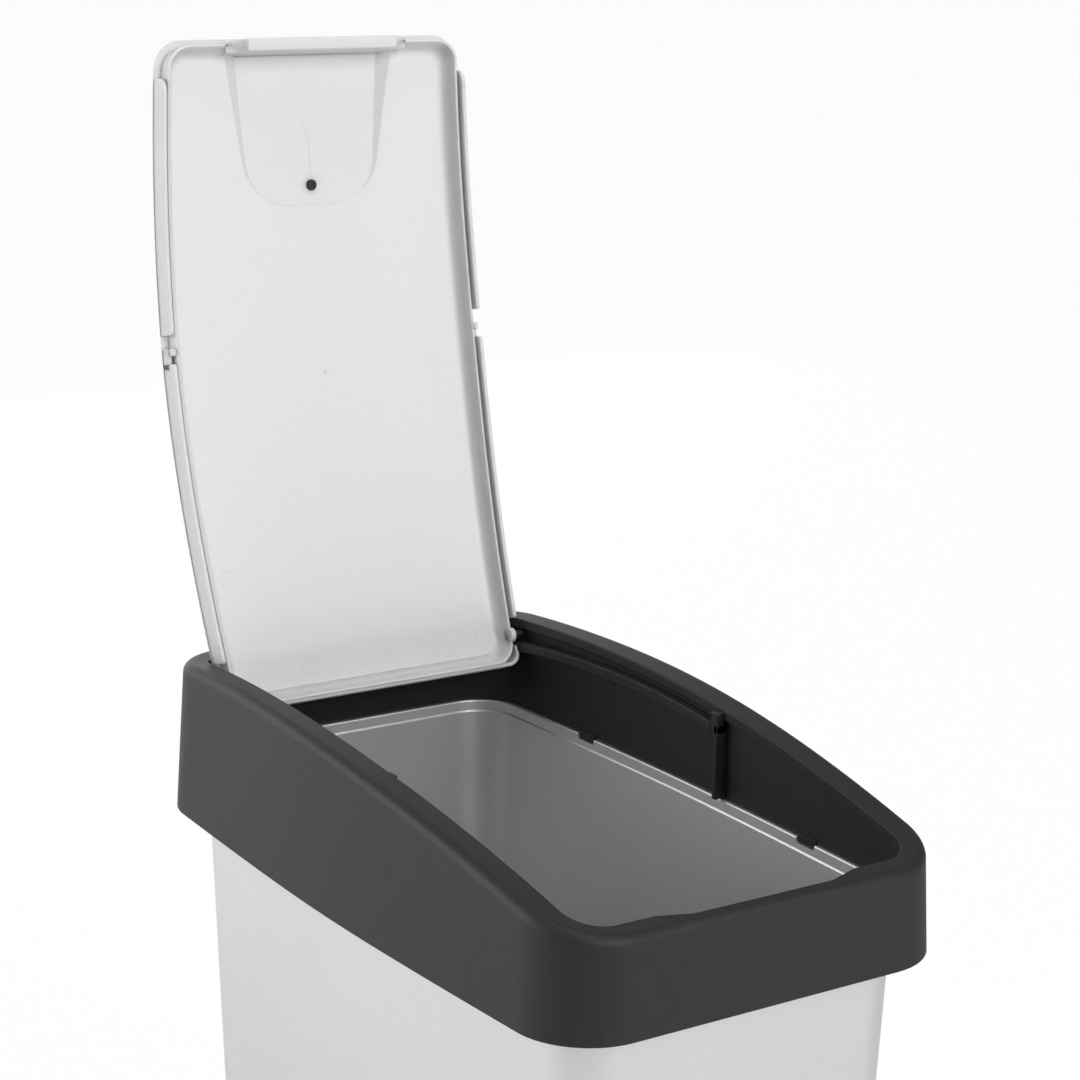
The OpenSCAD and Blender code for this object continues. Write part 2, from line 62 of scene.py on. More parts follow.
# Lid
LID_GAP, LID_GAP_BACK, ARC_R, LID_T, LID_PROUD = 1.9, 2.2, 687.0, 2.0, 1.05
LID_R, LID_BACK_R, RIB_INSET, RIB_H = 13.0, 6.5, 3.0, 10.0
SKIRT_H, SKIRT_T, SKIRT_START, SKIRT_END = 12.2, 1.8, 24.0, 17.0
BACK_SKIRT_H, BACK_SKIRT_END, BACK_LEAN = 9.0, 13.4, 1.4
TONGUE_W, TONGUE_DRAFT, TONGUE_H, TONGUE_T, TONGUE_OUT = 76.6, 4.0, 16.5, 5.6, 1.4
TONGUE_R, TONGUE_DRAW = 0.8, 0.7
PAD_W, PAD_BACK_W, PAD_L, PAD_R = 73.6, 63.6, 70.0, 20.0
PAD_RISE, PAD_BACK_RISE, PAD_SLOPE = 3.2, 1.0, 2.06
STUD_R, STUD_IN, FILLET_R = 2.6, 8.6, 5.2
LIP_T = LID_T + 0.3
RIM_WALL_T, RIM_WALL_ROOT = 1.1, 1.6
WALL_IN = RIB_INSET + RIM_WALL_ROOT
# Depth in the sheet at which skirts and blocks start, and the radius of the edges of walls and rails
SHEET_LAP, EDGE_R = 1.0, 0.5
# Insets of the sheet's inner rings: in general, and close to the rim wall under the pad
SHEET_IN, TIGHT_IN = 12.0, 5.4
# They are close over the lid's front stretch, and part between two distances from its middle line.
TIGHT_L, TIGHT_FROM, TIGHT_TO = 14.0, 41.5, 47.0
# The trough along the lid's back, which fades out between two distances from the back end
TROUGH_R, TROUGH_FALL, TROUGH_FROM, TROUGH_TO, TROUGH_DIP = 2.3, 1.1, 14.0, 22.0, 2.9
# Recess under the pad
RECESS_FRONT, RECESS_BACK, RECESS_SLOPE = 6.0, 0.6, 0.044
# Marks of the mould inside the lid, across and along: ejector rings with their radii, and the gate
EJECTORS = ((-30, 15.7, 4.0), (63, 16.7, 4.0), (-63, 60, 4.0), (58, 150, 3.5))
GATE = (0, 149.3)
WELD_BACK, WELD_L = 2.0, 44.0
# Hinge and side rails
HINGE_IN, HINGE_DROP, OPEN_ANGLE = 15.1, 7.0, 106.4
PIN_R, PIN_IN, PIN_CLEAR, EYE_R, EYE_L, EYE_FLOOR = 1.9, 2.0, 0.08, 3.4, 2.6, 0.5
# Radius at which a turned profile stops short of its axis
AXIS_R = 0.02
SEAT_GAP, LEDGE_H, LEDGE_IN, LEDGE_BACK, LEDGE_SLANT = 0.4, 4.5, 3.2, 1.4, 2.2
PIVOT_AT, TAB_L, TAB_H, RIB_T, RIB_UNDER = 166.8, 5.0, 5.0, 2.4, 0.4
TAB_GAP, LOW_SKIRT_L, LOW_SKIRT_H, BLOCK_T = 0.6, 6.8, 7.4, 3.2
# How far ledge, tab and pin reach into the collar's inner wall, and the rib into its lower part
WALL_LAP, RIB_LAP = 3.0, 6.0
# Bow of the long sides, and the softness of its bend
SIDE_BOW, BOW_SOFT = 4.2, 66.0

# Shares of a straight stretch at which an outline has points, and the angles of its round corners
END_SHARES = np.linspace(0, 1, 41)[:-1]
SIDE_SHARES = np.linspace(0, 1, 72)[1:-1]
QUARTER = np.linspace(0, math.pi / 2, 15)
# Distance of a support ring from its arc, and the most that an arc and its support take of a stretch
SUPPORT, ARC_SHARE, SUPPORT_SHARE = 0.35, 0.42, 0.48


def smooth_step(x, low, high):
    """Zero below low, one above high, and the cubic 3t*t - 2t*t*t between them."""
    t = np.clip((x - low) / (high - low), 0, 1)
    return t * t * (3 - 2 * t)


def bow_share(y, half):
    """Share of the bow at distance y from a side's middle: one there, zero at the ends, a soft bend."""
    return 1 - (np.hypot(y, BOW_SOFT) - BOW_SOFT) / (math.hypot(half, BOW_SOFT) - BOW_SOFT)


def outline(half_w, half_l, r, bow, shift=0.0, back_r=None, sides=SIDE_SHARES):
    """Rectangle with rounded corners whose long sides bow out, from the middle of the front round to the
    right, as x and y. The left half mirrors the right one."""
    back_r = r if back_r is None else back_r
    front_y, back_y = r - half_l, half_l - back_r
    front_x = half_w + bow * bow_share(front_y, half_l) - r
    back_x = half_w + bow * bow_share(back_y, half_l) - back_r
    y = front_y + (back_y - front_y) * sides
    right = np.concatenate([
        np.c_[front_x * END_SHARES, np.full(len(END_SHARES), -half_l)],
        np.c_[front_x + r * np.sin(QUARTER), front_y - r * np.cos(QUARTER)],
        np.c_[half_w + bow * bow_share(y, half_l), y],
        np.c_[back_x + back_r * np.cos(QUARTER), back_y + back_r * np.sin(QUARTER)],
        np.c_[back_x * END_SHARES[::-1], np.full(len(END_SHARES), half_l)]])
    return np.concatenate([right, right[-2:0:-1] * (-1, 1)]) + (0, shift)


def at_height(points, z):
    """The plan points at height z, which may be one number or one for each point."""
    return np.c_[points, np.broadcast_to(z, len(points))]


def rounded(rings, radii, steps=6, closed=True):
    """Turns each control ring into an arc of its radius. Between the two tangent points the arc is the
    rational quadratic curve whose middle weight is the cosine of half the turn, which is a true circle.
    A support ring lies just outside each tangent point. An open skin keeps its two end rings."""
    rings = np.asarray(rings, float)
    before, after = np.roll(rings, 1, 0) - rings, np.roll(rings, -1, 0) - rings
    len_a = np.maximum(np.linalg.norm(before, axis=2, keepdims=True), 1e-6)
    len_b = np.maximum(np.linalg.norm(after, axis=2, keepdims=True), 1e-6)
    before, after = before / len_a, after / len_b
    spread = np.clip((before * after).sum(2, keepdims=True), -0.99999, 0.99999)
    radius = np.asarray(radii, float)[:, None, None]
    reach = np.maximum(radius * np.sqrt((1 + spread) / (1 - spread)), 0.01)
    reach = np.minimum(reach, ARC_SHARE * np.minimum(len_a, len_b))
    weight = np.sqrt((1 - spread) / 2)
    support_a = np.minimum(reach + SUPPORT, SUPPORT_SHARE * len_a)
    support_b = np.minimum(reach + SUPPORT, SUPPORT_SHARE * len_b)
    k = np.linspace(0, 1, steps)[:, None, None, None]
    start, end = rings + before * reach, rings + after * reach
    top = (1 - k) ** 2 * start + 2 * weight * k * (1 - k) * rings + k ** 2 * end
    arc = top / ((1 - k) ** 2 + 2 * weight * k * (1 - k) + k ** 2)
    parts = np.concatenate([(rings + before * support_a)[None], arc, (rings + after * support_b)[None]])
    parts = parts.transpose(1, 0, 2, 3)
    if closed:
        return parts.reshape(-1, *rings.shape[1:])
    middle = parts[1:-1].reshape(-1, *rings.shape[1:])
    return np.concatenate([rings[:1], middle, rings[-1:]])


class Shell:
    """Gathers closed surfaces and makes one mesh of them, each with its faces turned outwards."""

    def __init__(self):
        self.points, self.faces, self.count = [], [], 0

    def add(self, points, faces):
        """Adds a closed surface. Its signed volume, summed over triangle fans, says which way it faces."""
        points = np.asarray(points, float)
        local = points - points.mean(0)
        volume = 0.0
        for face in faces:
            corners = local[face]
            for j in range(1, face.shape[1] - 1):
                normals = np.cross(corners[:, j], corners[:, j + 1])
                volume += np.einsum("ij,ij->i", corners[:, 0], normals).sum()
        for face in faces:
            self.faces.append((face if volume > 0 else face[:, ::-1]) + self.count)
        self.points.append(points)
        self.count += len(points)

    def skin(self, rings, closed=False):
        """Surface over rings of equal count: quads join each ring to the next. A closed skin joins the last
        ring to the first, an open one gets a fan to the middle point of each end ring."""
        rings = np.asarray(rings, float)
        count, n = rings.shape[:2]
        index = np.arange(count * n).reshape(count, n)
        a, b = (index, np.roll(index, -1, 0)) if closed else (index[:-1], index[1:])
        quads = np.stack([a, np.roll(a, -1, 1), np.roll(b, -1, 1), b], -1).reshape(-1, 4)
        points = rings.reshape(-1, 3)
        if closed:
            self.add(points, [quads])
            return
        first, last, top = index[0], index[-1], count * n
        fans = np.concatenate([
            np.stack([np.roll(first, -1), first, np.full(n, top)], -1),
            np.stack([last, np.roll(last, -1), np.full(n, top + 1)], -1)])
        self.add(np.concatenate([points, [rings[0].mean(0)], [rings[-1].mean(0)]]), [quads, fans])

    def bar(self, sections, radius=0.4, bevel=0.3):
        """Bar over sections of equal corner count: each long edge is rounded, and each end is bevelled by a
        smaller section that is drawn in towards the section's middle."""
        sections = np.asarray(sections, float)
        corners = sections.transpose(1, 0, 2)
        body = rounded(corners, np.full(len(corners), radius), 4).transpose(1, 0, 2)
        first, last = body[0], body[-1]
        way_in = bevel / max(np.linalg.norm(body[1].mean(0) - first.mean(0)), 1e-6)
        way_out = bevel / max(np.linalg.norm(body[-2].mean(0) - last.mean(0)), 1e-6)
        size = 1 - 2 * bevel / np.sqrt(np.prod(np.sort(np.ptp(first, axis=0))[1:]) + 1e-6)
        start = first.mean(0) + (first - first.mean(0)) * size
        stop = last.mean(0) + (last - last.mean(0)) * size
        self.skin(np.concatenate([[start], [first + (body[1] - first) * min(way_in, 0.4)], body[1:-1],
                                  [last + (body[-2] - last) * min(way_out, 0.4)], [stop]]))

    def build(self, name, body, material, replaced, sharp=38):
        """Makes the mesh in metres with smooth faces that keep edges sharper than the given angle."""
        points = np.concatenate(self.points) * 0.001
        loops = np.concatenate([face.ravel() for face in self.faces])
        sizes = np.concatenate([np.full(len(face), face.shape[1]) for face in self.faces])
        mesh = bpy.data.meshes.new(name)
        mesh.vertices.add(len(points))
        mesh.vertices.foreach_set("co", points.ravel())
        mesh.loops.add(len(loops))
        mesh.loops.foreach_set("vertex_index", loops.astype(np.int32))
        mesh.polygons.add(len(sizes))
        mesh.polygons.foreach_set("loop_start", np.concatenate([[0], np.cumsum(sizes)[:-1]]).astype(np.int32))
        mesh.polygons.foreach_set("use_smooth", np.ones(len(sizes), bool))
        mesh.update(calc_edges=True)
        mesh.validate()
        mesh.set_sharp_from_angle(angle=math.radians(sharp))
        mesh.materials.append(material)
        piece = bpy.data.objects.new(name, mesh)
        bpy.context.scene.collection.objects.link(piece)
        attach(piece, body)
        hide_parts(*replaced)


# Finishes

class Value:
    """A shader socket on which sums can be written as in arithmetic."""

    def __init__(self, nodes, socket):
        self.nodes, self.socket = nodes, socket

    def _math(self, operation, *values):
        return self.nodes.make("ShaderNodeMath", {"operation": operation}, values)

    def __add__(self, other):
        return self._math("ADD", self, other)

    def __radd__(self, other):
        return self._math("ADD", other, self)

    def __sub__(self, other):
        return self._math("SUBTRACT", self, other)

    def __rsub__(self, other):
        return self._math("SUBTRACT", other, self)

    def __mul__(self, other):
        return self._math("MULTIPLY", self, other)

    def __rmul__(self, other):
        return self._math("MULTIPLY", other, self)

    def power(self, other):
        return self._math("POWER", self, other)

    def size(self):
        return self._math("ABSOLUTE", self)

    def ramp(self, low, high):
        """Zero below low, one above high, smooth between."""
        return self.nodes.make("ShaderNodeMapRange", {"interpolation_type": "SMOOTHSTEP", "clamp": True},
                               {"Value": self, "From Min": low, "From Max": high})


class Finish:
    """A material whose nodes are made by one method, around one principled shader."""

    def __init__(self, name, **constants):
        self.material = bpy.data.materials.new(name)
        self.material.use_nodes = True
        self.tree = self.material.node_tree
        self.shader = next(n for n in self.tree.nodes if n.type == "BSDF_PRINCIPLED")
        for key, value in constants.items():
            self.shader.inputs[key.replace("_", " ")].default_value = value
        self.place = self.make("ShaderNodeTexCoord", {}, {}, "Object")

    def _set(self, target, value):
        if isinstance(value, Value):
            self.tree.links.new(value.socket, target)
        elif value is not None:
            target.default_value = value

    def make(self, kind, settings, values=(), output=0):
        """One node: its settings come first, then a value or a link for each named or numbered socket."""
        node = self.tree.nodes.new(kind)
        for key, value in settings.items():
            setattr(node, key, value)
        pairs = values.items() if isinstance(values, dict) else enumerate(values)
        for key, value in pairs:
            self._set(node.inputs[key], value)
        return Value(self, node.outputs[output])

    def link(self, socket, value):
        self._set(self.shader.inputs[socket], value)

    def noise(self, scale, detail=2.0, rough=0.5, stretch=None):
        """Noise on the object's own coordinates, stretched along an axis where the finish is drawn out."""
        where = self.place if stretch is None else self.make(
            "ShaderNodeMapping", {}, {"Vector": self.place, "Scale": stretch})
        return self.make("ShaderNodeTexNoise", {"noise_dimensions": "3D"},
                         {"Vector": where, "Scale": scale, "Detail": detail, "Roughness": rough})

    def blend(self, share, first, second):
        """Colour that goes from the first to the second as the share goes from zero to one."""
        node = self.tree.nodes.new("ShaderNodeMix")
        node.data_type = "RGBA"
        for key, value in zip((0, 6, 7), (share, first, second)):
            self._set(node.inputs[key], value)
        return Value(self, node.outputs[2])

    def bump(self, height, strength, distance):
        return self.make("ShaderNodeBump", {}, {"Strength": strength, "Distance": distance, "Height": height})


def grey(level):
    return (level, level, level, 1.0)


def silver_finish():
    """Silver lacquered plastic: a faint cloudiness in its colour and gloss, and a fine fleck."""
    f = Finish("silver_lacquer", Metallic=0.88, IOR=1.5, Coat_Weight=0.12, Coat_Roughness=0.3)
    cloud = f.noise(9.0, 3.0, 0.55)
    fleck = f.noise(2600.0, 1.0, 0.6)
    f.link("Base Color", f.blend(cloud * 0.6 + fleck * 0.4, (0.77, 0.775, 0.78, 1), (0.86, 0.865, 0.87, 1)))
    f.link("Roughness", 0.37 + cloud * 0.06 + fleck * 0.05)
    f.link("Normal", f.bump(fleck, 0.12, 0.0002))
    return f.material


def dark_finish():
    """Dark grey moulded plastic with a fine spark-eroded grain, a little paler on its high spots."""
    f = Finish("dark_grain", IOR=1.49, Specular_IOR_Level=0.5)
    grain = f.noise(1500.0, 3.0, 0.62)
    fine = f.noise(5200.0, 1.0, 0.5)
    cloud = f.noise(14.0, 2.0, 0.5)
    dark, pale = (0.009, 0.009, 0.0093, 1), (0.016, 0.016, 0.0163, 1)
    f.link("Base Color", f.blend(grain * 0.7 + cloud * 0.3, dark, pale))
    f.link("Roughness", 0.46 + grain * 0.10 + cloud * 0.05)
    f.link("Normal", f.bump(grain * 0.7 + fine * 0.3, 0.55, 0.0002))
    return f.material


def white_finish():
    """White moulded plastic that lets light through: satin, faintly cloudy, with painted shade on its steep
    walls, and on the inside the marks of its mould, which are rings of the ejector pins, the gate's dot and
    the weld line past the stud."""
    f = Finish("white_satin", IOR=1.49, Subsurface_Weight=0.8, Subsurface_Scale=0.0035,
               Subsurface_Radius=(1.0, 0.99, 0.96))
    flow = f.noise(5.0, 3.0, 0.5, (4.0, 1.0, 0.6))
    fine = f.noise(900.0, 2.0, 0.5)
    x, z = (f.make("ShaderNodeSeparateXYZ", {}, {"Vector": f.place}, k) for k in (0, 2))
    turned_to = f.make("ShaderNodeTexCoord", {}, {}, "Normal")
    across, along, over = (f.make("ShaderNodeSeparateXYZ", {}, {"Vector": turned_to}, k) for k in (0, 1, 2))
    inside = (0 - along).ramp(0.5, 0.8)
    # Painted shade: walls that stand on the sheet, found by the way their faces turn, get a greyer colour
    # that stands in for the darker look of the thicker plastic in the light.
    painted_wall_shade = across.size().ramp(0.12, 0.75) + (over - 0.2).size().ramp(0.2, 0.8) * 0.6

    def away(across, s):
        """Distance from the place at this distance across and along the lid."""
        _, _, height = opened(on_lid(across, s, LID_T)) * 0.001
        dx, dz = x - across * 0.001, z - float(height)
        return (dx * dx + dz * dz).power(0.5)

    def ring(across, s, radius):
        return 1 - (away(across, s) - radius * 0.001).size().ramp(0.0001, 0.0005)

    gate = 1 - away(*GATE).ramp(0.0006, 0.0013)
    rings = ring(*EJECTORS[0])
    for ejector in EJECTORS[1:]:
        rings = rings + ring(*ejector)
    weld_ends = (PAD_S + STUD_IN + WELD_BACK, PAD_S + WELD_L)
    start, stop = (float(opened(on_lid(0, s, LID_T))[2]) * 0.001 for s in weld_ends)
    bend = (z - start) * 0.16 * (z - start).ramp(0.012, 0.036)
    line = 1 - (x + bend).size().ramp(0.00015, 0.0006)
    weld = line * z.ramp(start, start + 0.002) * (1 - z.ramp(stop - 0.012, stop))
    marks = (gate + rings * 0.35 + weld * 0.55) * inside
    cloud = f.blend(flow, (0.79, 0.797, 0.797, 1), (0.83, 0.835, 0.835, 1))
    # The mould's marks and the painted wall shade both draw the colour towards a grey.
    f.link("Base Color", f.blend(marks * 0.4 + painted_wall_shade * 0.45, cloud, (0.46, 0.465, 0.465, 1)))
    f.link("Roughness", 0.34 + flow * 0.08 + fine * 0.05)
    f.link("Normal", f.bump(flow * 0.8 + fine * 0.02 - marks * 0.12, 0.10, 0.002))
    return f.material


def stud_finish():
    """Black plastic of the stud: smooth, with a light haze."""
    f = Finish("black_stud", IOR=1.5)
    haze = f.noise(700.0, 2.0, 0.5)
    f.link("Base Color", f.blend(haze, grey(0.010), grey(0.022)))
    f.link("Roughness", 0.32 + haze * 0.12)
    f.link("Normal", f.bump(haze, 0.1, 0.0001))
    return f.material


# Bucket

def bucket_outline(inset, z):
    """Outline of the bucket at height z: the rim's outline drawn in by the draft and by the inset."""
    lean = (BUCKET_H - z) * BUCKET_LEAN + inset
    half_w, half_l, r = BUCKET_W / 2 - lean, BUCKET_L / 2 - lean, max(BUCKET_R - lean, BUCKET_LEAST_R)
    return outline(half_w, half_l, r, SIDE_BOW, sides=BUCKET_SIDES)


def notched_sides():
    """Shares along the side with a close pair of points at each end of each notch."""
    run = BUCKET_L / 2 - BUCKET_R
    pair = (NOTCH_L / 2, NOTCH_L / 2 + 0.35)
    ends = np.array([y + side * half for y in NOTCH_Y for side in (-1, 1) for half in pair])
    return np.sort(np.concatenate([SIDE_SHARES, (ends / run + 1) / 2]))


BUCKET_SIDES = notched_sides()


def notched(ring):
    """Lowers a ring's points to the notch's floor where they lie between a notch's ends on a long side."""
    ring = ring.copy()
    inside = np.zeros(len(ring), bool)
    for y in NOTCH_Y:
        inside |= np.abs(ring[:, 1] - y) < NOTCH_L / 2 + 0.01
    inside &= np.abs(ring[:, 0]) > BUCKET_W / 2 - BUCKET_WALL - 2
    ring[inside, 2] = np.minimum(ring[inside, 2], BUCKET_H - NOTCH_H)
    return ring


def make_bucket(material):
    """Tapered shell: out over the base, up the wall, over the rolled rim and down the inside, with a slim
    step below the rim and a rounded floor."""
    top, wall, under_bead = BUCKET_H, BUCKET_WALL, BUCKET_H - BEAD_H
    # Inset and height of each control ring, and the radius of its edge
    steps = [
        (BASE_R + BASE_FLAT, 0, 0), (0, 0, BASE_R), (0, under_bead - BEAD_OUT, 2),
        (-BEAD_OUT, under_bead, 1.2), (-BEAD_OUT, top, 1.1), (wall, top, 0.9), (wall, under_bead, 0.3),
        (wall + STEP_IN, under_bead - STEP_FALL, 0.3), (wall + STEP_LEFT, under_bead - STEP_RUN, 0),
        (wall, wall, BASE_R), (wall + BASE_R + BASE_FLAT, wall, 0)]
    rings = rounded([at_height(bucket_outline(inset, z), z) for inset, z, _ in steps],
                    [r for _, _, r in steps], 7, closed=False)
    rings = np.stack([notched(ring) for ring in rings])
    shrink = np.array([0.02, 0.35, 0.7])[:, None, None] * (1, 1, 0) + (0, 0, 1)
    shell = Shell()
    shell.skin(np.concatenate([rings[0] * shrink, rings, rings[-1] * shrink[::-1]]))
    shell.build("bucket_shell", "bucket_body", material, ("bucket",))


# Collar

def rim_z(y):
    """Height of the collar's rim over its lower edge: a line from front to back plus a parabola's arch."""
    u = y / (COLLAR_L / 2)
    middle, half_rise = (COLLAR_BACK_H + COLLAR_FRONT_H) / 2, (COLLAR_BACK_H - COLLAR_FRONT_H) / 2
    return middle + u * half_rise + COLLAR_ARCH * (1 - u * u)


def collar_outline(inset):
    return outline(COLLAR_W / 2 - inset, COLLAR_L / 2 - inset, COLLAR_R - inset, COLLAR_BOW)


def mouth_outline(grow):
    half_w, half_l, r = MOUTH_W / 2 + grow, MOUTH_HALF + grow, MOUTH_R + grow
    return outline(half_w, half_l, r, SIDE_BOW, MOUTH_SHIFT, MOUTH_BACK_R + grow)


def foot_outline(grow):
    return outline(BUCKET_W / 2 + grow, BUCKET_L / 2 + grow, BUCKET_R + grow, SIDE_BOW)


def mouth_ring(grow, drop, cut_share=1.0):
    """Ring at the mouth's edge, grown and lowered. Over the finger cut-out it lies further forward, by a
    trapezium of the cut-out's width, slope and depth, and there the band falls less."""
    ring = mouth_outline(grow)
    front = ring[:, 1] < -MOUTH_FRONT + FINGER_NEAR
    cut = np.clip((FINGER_W / 2 + FINGER_SLOPE - np.abs(ring[:, 0])) / FINGER_SLOPE, 0, 1) * front * cut_share
    ring[:, 1] -= cut * FINGER_D
    return at_height(ring, rim_z(ring[:, 1]) - drop + cut * BAND_FALL * FINGER_LEVEL)


def wall_ring(inset, drop):
    """Ring on the collar's outer wall, drawn in by the draft at the rim's height and by the inset."""
    flat = collar_outline(0)
    rise = rim_z(flat[:, 1]) - drop
    lean = rise * COLLAR_LEAN + inset
    return np.c_[flat[:, 0] * (1 - 2 * lean / COLLAR_W), flat[:, 1] * (1 - 2 * lean / COLLAR_L), rise]


def mouth_x(y):
    return MOUTH_W / 2 + SIDE_BOW * bow_share(y - MOUTH_SHIFT, MOUTH_HALF)


LID_BACK_Y = MOUTH_BACK - LID_GAP_BACK
LID_BACK_Z = rim_z(LID_BACK_Y) - BAND_FALL + LID_PROUD
LID_RUN = MOUTH_FRONT + MOUTH_BACK - LID_GAP - LID_GAP_BACK
LID_FALL = LID_BACK_Z - (rim_z(LID_GAP - MOUTH_FRONT) - BAND_FALL + LID_PROUD)
HALF_ANGLE = math.asin(math.hypot(LID_RUN, LID_FALL) / 2 / ARC_R)
LID_L = 2 * HALF_ANGLE * ARC_R
BACK_ANGLE = math.pi / 2 + math.atan2(LID_FALL, LID_RUN) - HALF_ANGLE
DRAW_ANGLE = BACK_ANGLE + HALF_ANGLE
ARC_Y, ARC_Z = LID_BACK_Y - ARC_R * math.cos(BACK_ANGLE), LID_BACK_Z - ARC_R * math.sin(BACK_ANGLE)
LID_W = MOUTH_W - 2 * LID_GAP
HINGE_Y, HINGE_Z = LID_BACK_Y - HINGE_IN, LID_BACK_Z - HINGE_DROP
TONGUE_BACK = LID_L - RIB_INSET + TONGUE_OUT - TONGUE_T


def on_lid(x, s, w):
    """Point of the closed lid: x across, s along its arc from the back, w down its way out of the mould."""
    x, s, w = np.broadcast_arrays(np.asarray(x, float), s, w)
    a = BACK_ANGLE + s / ARC_R
    return np.stack([x, ARC_Y + ARC_R * np.cos(a) - w * math.cos(DRAW_ANGLE),
                     ARC_Z + ARC_R * np.sin(a) - w * math.sin(DRAW_ANGLE)], -1)


def raised(points):
    """From the collar's own frame to the bin's."""
    return points + (0, 0, COLLAR_Z)


def mirrored(points, side):
    return points * (side, 1, 1)


def block(inner, outer, ends, low, high):
    """Sections of a box along Y, one at each of the given places, between two values of x and two of z."""
    count = len(ends)
    corners = ((inner, low), (outer, low), (outer, high), (inner, high))
    return np.stack([np.c_[np.full(count, x), ends, np.full(count, z)] for x, z in corners], 1)


def side_rail(shell, side):
    """Ledge along one side that the closed lid's skirt rests on, its pivot tab and the rib below the tab."""
    seat = SKIRT_H + SEAT_GAP
    s = np.linspace(HINGE_IN + LEDGE_BACK, PIVOT_AT, 24)
    hi, lo = on_lid(0, s, seat), on_lid(0, s, seat + LEDGE_H)
    slant = np.zeros(len(s))
    slant[0] = LEDGE_SLANT
    x = mouth_x(hi[:, 1])
    inner, outer, low_y = x - LEDGE_IN, x + WALL_LAP, lo[:, 1] - slant
    section = [np.c_[inner, low_y, lo[:, 2]], np.c_[outer, low_y, lo[:, 2]],
               np.c_[outer, hi[:, 1], hi[:, 2]], np.c_[inner, hi[:, 1], hi[:, 2]]]
    shell.bar(raised(mirrored(np.stack(section, 1), side)))
    back, front, z, edge = hi[-1, 1], hi[-1, 1] - TAB_L, hi[-1, 2], inner[-1]
    tab_ends, rib_ends = [back + 0.01, front + TAB_L / 2, front], [front + RIB_T, front + RIB_T / 2, front]
    tab = block(edge, edge + LEDGE_IN + WALL_LAP, tab_ends, z - LEDGE_H, z + TAB_H)
    rib = block(edge, edge + LEDGE_IN + RIB_LAP, rib_ends, SEAT_Z, z - RIB_UNDER)
    for box in (tab, rib):
        shell.bar(raised(mirrored(box, side)), EDGE_R)


def rim_key(shell, side, y):
    """Key under the foot of the inner wall, which fits the notch in the bucket's rim."""
    inner = BUCKET_W / 2 + SIDE_BOW * bow_share(y, BUCKET_L / 2) - BUCKET_WALL + KEY_OUT
    half, low = NOTCH_L / 2 - KEY_GAP, COLLAR_OVERLAP - NOTCH_H + KEY_GAP
    key = block(inner, inner + COLLAR_WALL + 1, [y - half, y, y + half], low, low + NOTCH_H + KEY_TALL)
    shell.bar(raised(mirrored(key, side)), 0.3)


def turned(profile, centre, axis_x, count=40):
    """Surface turned about a line along X. A profile point is a distance along the line and a radius."""
    angle = np.linspace(0, 2 * math.pi, count, endpoint=False)
    along, radius = profile[:, :1], profile[:, 1:]
    ring = np.stack([np.broadcast_to(along * axis_x, (len(profile), count)),
                     radius * np.cos(angle), radius * np.sin(angle)], -1)
    return ring + centre


def lid_x(s):
    """Half the lid's width at distance s from its back end."""
    return LID_W / 2 + SIDE_BOW * bow_share(s - LID_L / 2, LID_L / 2)


EYE_OUT = float(lid_x(HINGE_IN)) - RIB_INSET + 1


def hinge_pin(shell, side):
    """Pin on the collar's wall, with a slightly rounded end, along the hinge axis."""
    root = float(mouth_x(HINGE_Y)) + WALL_LAP - EYE_OUT + PIN_IN
    end = [(0, AXIS_R), (0, PIN_R - 0.3), (0.1, PIN_R - 0.1), (0.3, PIN_R)]
    profile = np.array(end + [(root, PIN_R), (root, AXIS_R)])
    shell.skin(raised(turned(profile, (side * (EYE_OUT - PIN_IN), HINGE_Y, HINGE_Z), side)))


def make_collar(material):
    """Hollow moulding: down the outside from the rolled rim, up inside it, and an inner wall from the mouth's
    lip to the foot that stands on the bucket."""
    w, under_lip = COLLAR_WALL, BAND_FALL + MOUTH_LIP_H
    # Each control ring with the radius of its edge
    controls = [
        (at_height(collar_outline(0), 0), 0.6), (wall_ring(0, 0), ROLL_R), (mouth_ring(0, BAND_FALL), 0.7),
        (mouth_ring(0, under_lip), 0.5), (mouth_ring(2, under_lip + 0.6), 1.0),
        (at_height(foot_outline(-0.4), SEAT_Z), 0.3), (at_height(foot_outline(w - 0.4), SEAT_Z), 0.3),
        (mouth_ring(2 + w, BAND_FALL + w + 1, 0.55), 1.2), (wall_ring(w, ROLL_R), 1.5),
        (at_height(collar_outline(w), 0), 0.3)]
    shell = Shell()
    shell.skin(raised(rounded([ring for ring, _ in controls], [r for _, r in controls], 9)), closed=True)
    for side in (-1, 1):
        side_rail(shell, side)
        hinge_pin(shell, side)
        for y in NOTCH_Y:
            rim_key(shell, side, y)
    shell.build("collar_moulding", "collar_body", material, ("collar",))


# Lid

def lid_outline(inset):
    """Outline of the lid as x and the distance s from its back end. From the rim wall inwards the corners
    keep more of their radius, and those at the back are as round as those at the front."""
    within = inset >= RIB_INSET
    r = LID_R - 0.72 * inset if within else LID_R - inset
    back_r = r if within else LID_BACK_R - inset
    flat = outline(LID_W / 2 - inset, LID_L / 2 - inset, r, SIDE_BOW, 0.0, max(back_r, 1.0))
    return np.c_[flat[:, 0], LID_L / 2 - flat[:, 1]]


def laid(flat, w):
    """Ring of the lid over points of x and s, at a depth w that is a number or a function of s."""
    return on_lid(flat[:, 0], flat[:, 1], w(flat[:, 1]) if callable(w) else w)


def lid_ring(inset, w):
    return laid(lid_outline(inset), w)


def opened(points):
    """Turns the closed lid's points back about the hinge axis, so that the lid stands open on the bin."""
    c, s = math.cos(-math.radians(OPEN_ANGLE)), math.sin(-math.radians(OPEN_ANGLE))
    y, z = points[..., 1] - HINGE_Y, points[..., 2] - HINGE_Z
    return np.stack([points[..., 0], HINGE_Y + y * c - z * s, HINGE_Z + y * s + z * c + COLLAR_Z], -1)


PAD_S = LID_L - RIB_INSET - LID_T - PAD_L
PAD_MIDDLE = PAD_S + 40.0
